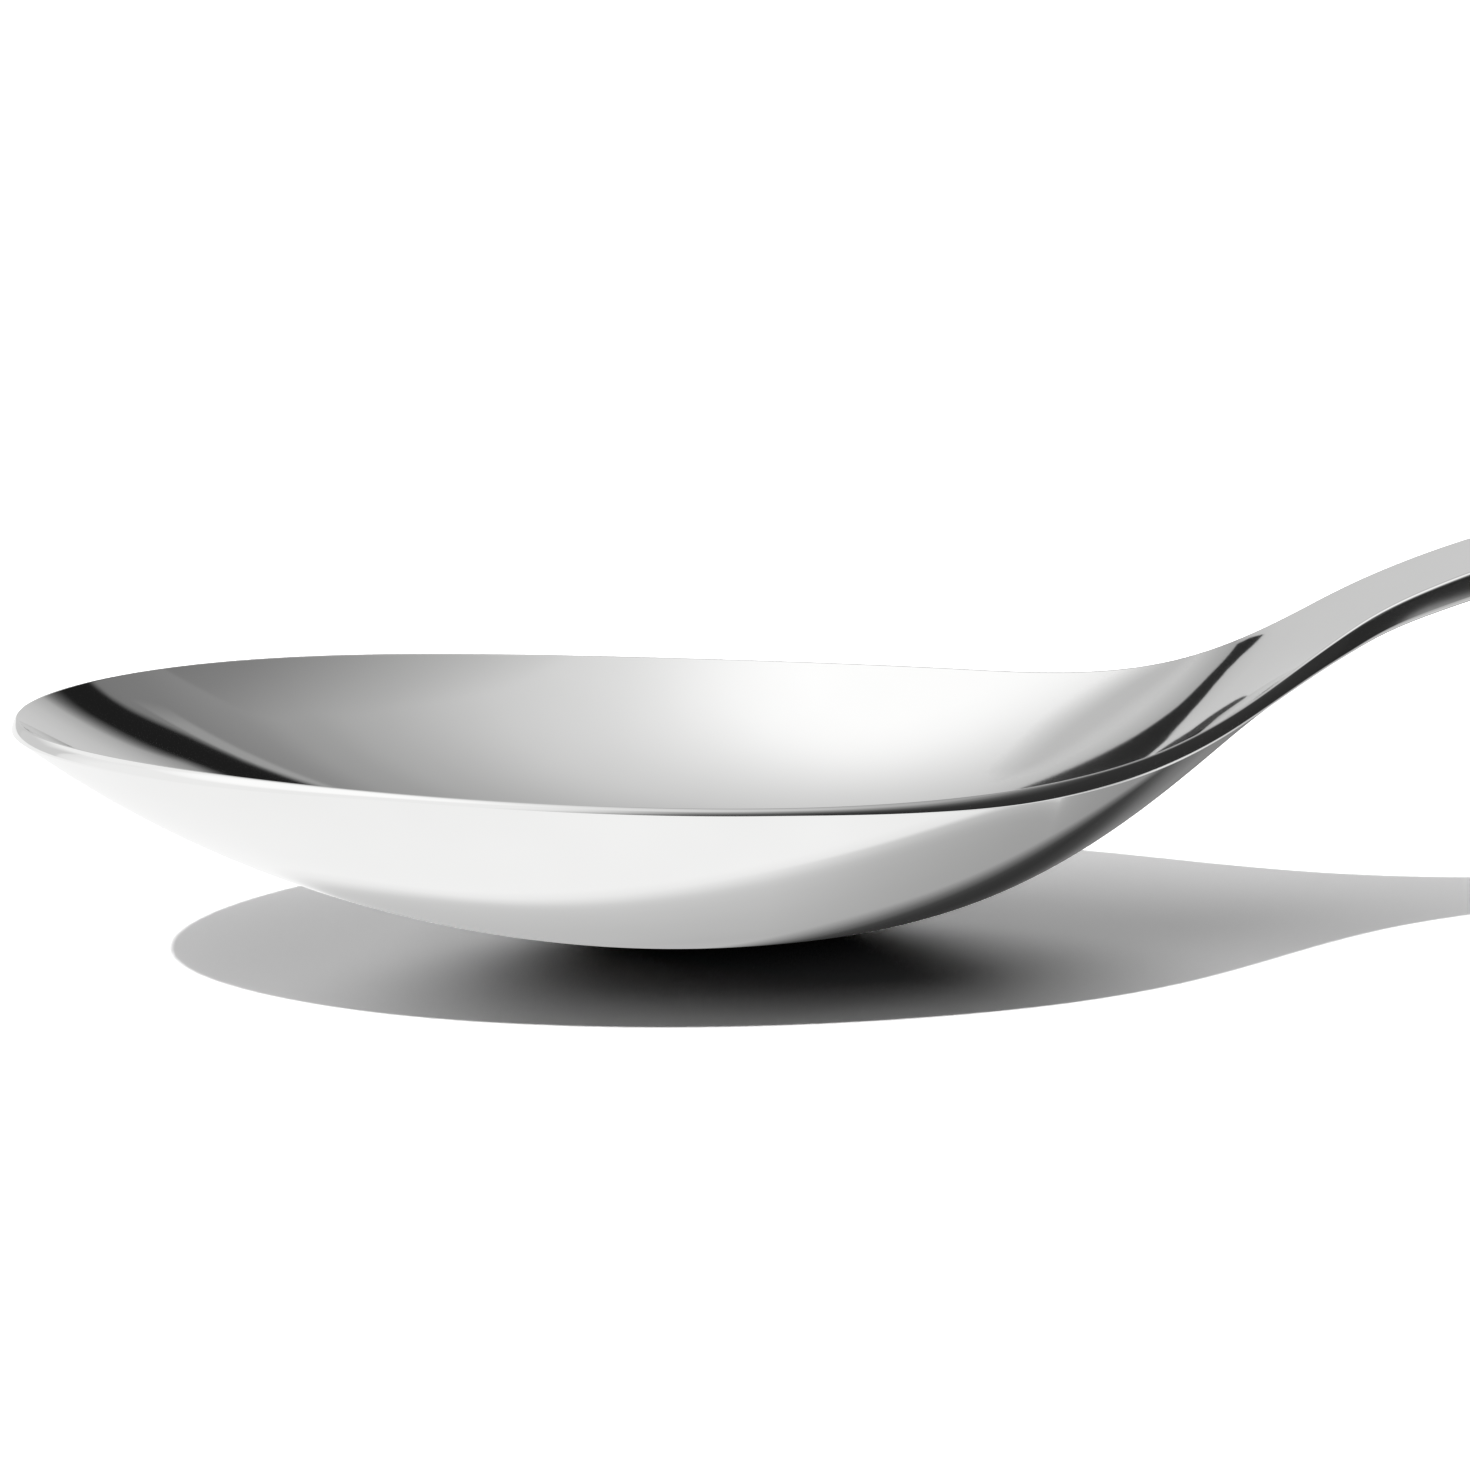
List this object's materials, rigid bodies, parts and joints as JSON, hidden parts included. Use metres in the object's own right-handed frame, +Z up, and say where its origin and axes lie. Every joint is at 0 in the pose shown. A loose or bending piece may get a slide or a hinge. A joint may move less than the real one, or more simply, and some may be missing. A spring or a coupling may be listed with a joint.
{
  "type": "serving spoon",
  "caption": "Steel serving spoon with a deep oval bowl, a slim arched stem and a hollow satin handle with a hanging hole.",
  "frame": {"origin": "on the table, under the middle of the spoon's length and width, with the spoon lying on its bowl and the tail of its handle", "axes": "+X from the bowl's tip towards the handle's tail, +Z up, +Y across the bowl"},
  "size_m": [0.2934, 0.0668, 0.0386],
  "materials": {
    "mirror_steel": "mirror polished stainless steel",
    "satin_steel": "satin brushed stainless steel",
    "cast_resin": "matt cast resin"
  },
  "bodies": {
    "root": {"spoon_head": "mirror_steel", "collar": "mirror_steel", "handle_upper_shell": "satin_steel", "handle_lower_shell": "satin_steel", "tang_filler": "cast_resin", "hang_tube": "mirror_steel"}
  },
  "joints": []
}
